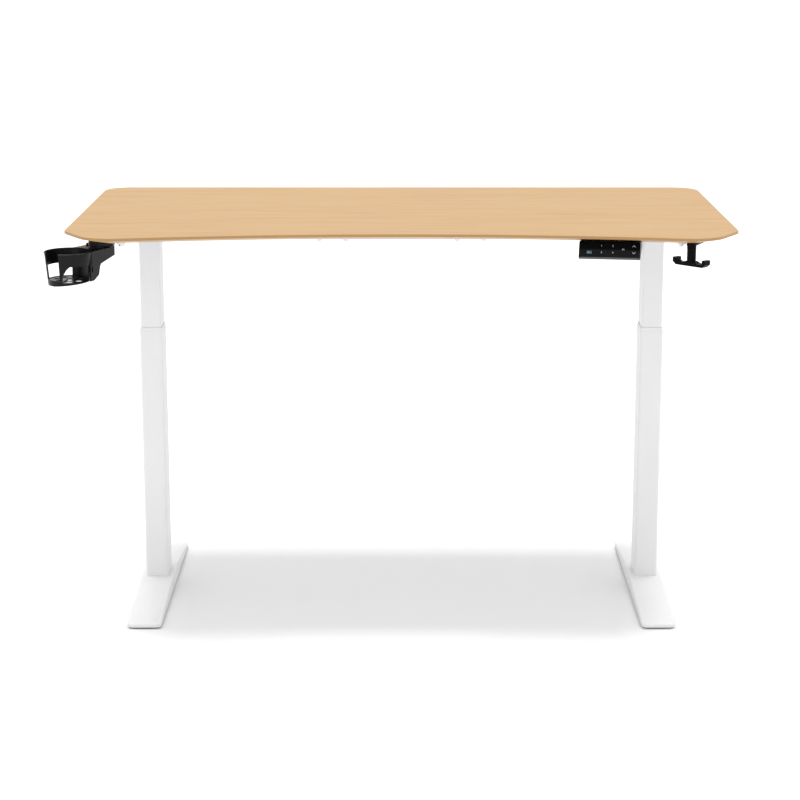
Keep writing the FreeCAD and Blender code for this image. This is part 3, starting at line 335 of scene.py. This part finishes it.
def face_centre(node):
    """Middle of a handset piece's outer face, and the piece's size across and up that face."""
    points = [v.co for v in nodes[node].data.vertices]
    spans = []
    for axis in (across, upward, outward):
        along = [p.dot(axis) for p in points]
        spans.append((min(along), max(along)))
    (x0, x1), (y0, y1), (_, surface) = spans
    centre = across * (x0 + x1) / 2 + upward * (y0 + y1) / 2 + outward * surface
    return centre, x1 - x0, y1 - y0


def on_face(centre):
    """Matrix that lays a flat mark, drawn in X and Y, on the handset at centre."""
    place = Matrix((across, upward, outward)).transposed().to_4x4()
    place.translation = centre
    return place


def mark(name, mesh, finish, body, place):
    """A mark on the handset, laid at place, that rides on a body."""
    piece = placed(name, mesh)
    mesh.transform(place)
    mesh.materials.clear()
    mesh.materials.append(finish.material)
    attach(piece, body)


def prisms(name, outlines, thickness):
    """Mesh of one flat prism per outline, each half sunk below Z = 0."""
    points, faces = [], []
    for outline in outlines:
        start, count = len(points), len(outline)
        points += [(x, y, -thickness / 2) for x, y in outline]
        points += [(x, y, thickness / 2) for x, y in outline]
        faces.append([start + i for i in reversed(range(count))])
        faces.append([start + count + i for i in range(count)])
        for i in range(count):
            j = (i + 1) % count
            faces.append([start + i, start + j, start + count + j, start + count + i])
    mesh = bpy.data.meshes.new(name)
    mesh.from_pydata(points, [], faces)
    return mesh


capital_height = 0.7  # of a letter, as a share of the font's size


def numeral(name, text, height, thickness):
    """Mesh of a printed character, centred on the origin."""
    curve = bpy.data.curves.new(name, "FONT")
    curve.body = text
    curve.size = height / capital_height
    curve.extrude = thickness / 2
    curve.resolution_u = 4
    drawn = placed(name, curve)
    bpy.context.view_layer.update()
    mesh = bpy.data.meshes.new_from_object(drawn.evaluated_get(bpy.context.evaluated_depsgraph_get()))
    bpy.data.objects.remove(drawn)
    corners = [v.co for v in mesh.vertices]
    middle = [(min(c[i] for c in corners) + max(c[i] for c in corners)) / 2 for i in range(2)]
    mesh.transform(Matrix.Translation((-middle[0], -middle[1], 0)))
    return mesh


def chevron(half_width, rise, stroke, way):
    """One bent bar that points up (way 1) or down (way -1)."""
    outline = []
    for edge, order in ((-stroke / 2, 1), (stroke / 2, -1)):
        foot = way * (-rise / 2 + edge)
        tip = way * (rise / 2 + edge)
        outline += [(-half_width, foot), (0, tip), (half_width, foot)][::order]
    return outline[::way]


def bar(x0, y0, x1, y1, stroke):
    """A display segment: a bar with pointed ends."""
    along = Vector((x1 - x0, y1 - y0)).normalized()
    side = Vector((-along.y, along.x)) * stroke / 2
    start, end = Vector((x0, y0)), Vector((x1, y1))
    tip = along * stroke / 2
    lower = (start, start + tip - side, end - tip - side)
    upper = (end, end - tip + side, start + tip + side)
    return [tuple(p) for p in lower + upper]


SEGMENTS = {  # which bars of a seven-segment digit are lit
    "0": "abcdef", "1": "bc", "2": "abged", "3": "abgcd", "4": "fgbc",
    "5": "afgcd", "6": "afgedc", "7": "abc", "8": "abcdefg", "9": "abcdfg",
}


def display_outlines(text, width, height, stroke, pitch):
    """Outlines of lit segments and decimal points, centred on the origin."""
    ends = {
        "a": (0, 2, 1, 2), "b": (1, 1, 1, 2), "c": (1, 0, 1, 1), "d": (0, 0, 1, 0),
        "e": (0, 0, 0, 1), "f": (0, 1, 0, 2), "g": (0, 1, 1, 1),
    }
    half = stroke / 2
    point = ((-half, -half), (half, -half), (half, half), (-half, half))
    outlines, x = [], 0.0
    for letter in text:
        if letter == ".":
            dot = x - pitch + width + (pitch - width) / 2
            outlines.append([(dot + dx, dy) for dx, dy in point])
            continue
        for key in SEGMENTS[letter]:
            x0, y0, x1, y1 = ends[key]
            outlines.append(bar(x + x0 * width, y0 * height / 2, x + x1 * width, y1 * height / 2, stroke))
        x += pitch
    middle = (x - pitch + width) / 2
    return [[(px - middle, py - height / 2) for px, py in outline] for outline in outlines]


ink_thickness = 0.00006
ink = moulded("grey_key_ink", (0.30, 0.30, 0.31), 0.50, spread=0.12, grain=2400.0, depth=0.00001, patch=400.0)
numeral_share = 0.42  # of the key's height
numerals = {"key_one": "1", "key_two": "2", "key_three": "3", "key_four": "4", "key_memory": "M"}
for body, text in numerals.items():
    centre, _, key_height = face_centre(body)
    drawn = numeral("mark_" + body, text, key_height * numeral_share, ink_thickness)
    mark("mark_" + body, drawn, ink, body, on_face(centre))

chevron_share, chevron_stroke = 0.31, 0.15  # of the key's width and height, and of its height
for body, way in (("key_up", 1), ("key_down", -1)):
    centre, key_width, key_height = face_centre(body)
    shape = chevron(key_width * chevron_share, key_height * chevron_share, key_height * chevron_stroke, way)
    drawn = prisms("mark_" + body, [shape], ink_thickness)
    mark("mark_" + body, drawn, ink, body, on_face(centre))

# The display shows the desk's height in centimetres, level with the lower row of keys.
digit_width, digit_height, digit_stroke, digit_pitch = 0.0021, 0.0048, 0.0005, 0.0034
digits_aside = 0.003  # from the middle of the window
glow = moulded("display_glow", (0.20, 0.32, 0.38), 0.40, spread=0.05, grain=900.0, depth=0.00001)
glow.set(Emission_Color=(0.55, 0.80, 0.88, 1.0), Emission_Strength=0.10)
window, _, _ = face_centre("handset_window")
low_row, _, _ = face_centre("key_three")
digits_at = (
    across * (window.dot(across) + digits_aside)
    + upward * low_row.dot(upward)
    + outward * window.dot(outward)
)
shown_height = f"{top_high.z * 100:.1f}"
shape = display_outlines(shown_height, digit_width, digit_height, digit_stroke, digit_pitch)
drawn = prisms("display_digits", shape, ink_thickness)
mark("display_digits", drawn, glow, "top", on_face(digits_at))


# ---------------------------------------------------------------- room, light and camera
def studio_floor():
    """Matt white paper floor."""
    paper = Finish("studio_floor")
    mottle = paper.noise(paper.place, 3.0, detail=4.0, rough=0.6)
    paper.set(
        Base_Color=paper.ramp(mottle, (0.3, (0.789, 0.795, 0.804)), (0.7, (0.799, 0.805, 0.814))),
        Roughness=paper.span(mottle, 0.3, 0.7, 0.85, 0.95),
        Specular_IOR_Level=0.1,
    )
    return paper.material


reach = 120.0  # half the floor's width
corners = [(-reach, -reach, 0), (reach, -reach, 0), (reach, reach, 0), (-reach, reach, 0)]
mesh = bpy.data.meshes.new("floor")
mesh.from_pydata(corners, [], [(0, 1, 2, 3)])
mesh.materials.append(studio_floor())
placed("floor", mesh)

sky_strength = 1.10
world = bpy.data.worlds.new("studio")
bpy.context.scene.world = world
world.use_nodes = True
sky = world.node_tree.nodes["Background"].inputs
sky["Color"].default_value = (1.0, 1.0, 1.0, 1.0)
sky["Strength"].default_value = sky_strength

# Four lights high over the desk, leaning out to the sides, front and rear, so that only the floor
# well inside the tabletop's outline is in the shade of all four.
lean_side, lean_depth, lean_centre = 0.197, 0.092, 0.070  # metres sideways per metre of height
lamp_strength, lamp_spread = 0.52, 8.0  # each lamp's, the spread in degrees
for side in (-1, 1):
    for depth in (-1, 1):
        light = bpy.data.lights.new(f"overhead_{side}_{depth}", "SUN")
        light.energy = lamp_strength
        light.angle = math.radians(lamp_spread)
        away = Vector((side * lean_side, depth * lean_depth + lean_centre, 1.0))
        lamp = placed(light.name, light)
        lamp.rotation_mode = "QUATERNION"
        lamp.rotation_quaternion = away.to_track_quat("Z", "Y")

view_distance, view_height, view_drop = 4.755, 1.533, 12.99  # metres, metres, degrees below level
camera = placed("camera", bpy.data.cameras.new("camera"))
camera.location = (0.0, -view_distance, view_height)
camera.rotation_euler = (math.radians(90.0 - view_drop), 0.0, 0.0)
camera.data.sensor_width = 36.0
camera.data.lens = 97.56
camera.data.shift_x = -0.0018
camera.data.clip_end = 300.0
bpy.context.scene.camera = camera
bpy.context.scene.view_settings.view_transform = "Standard"

bpy.context.view_layer.update()
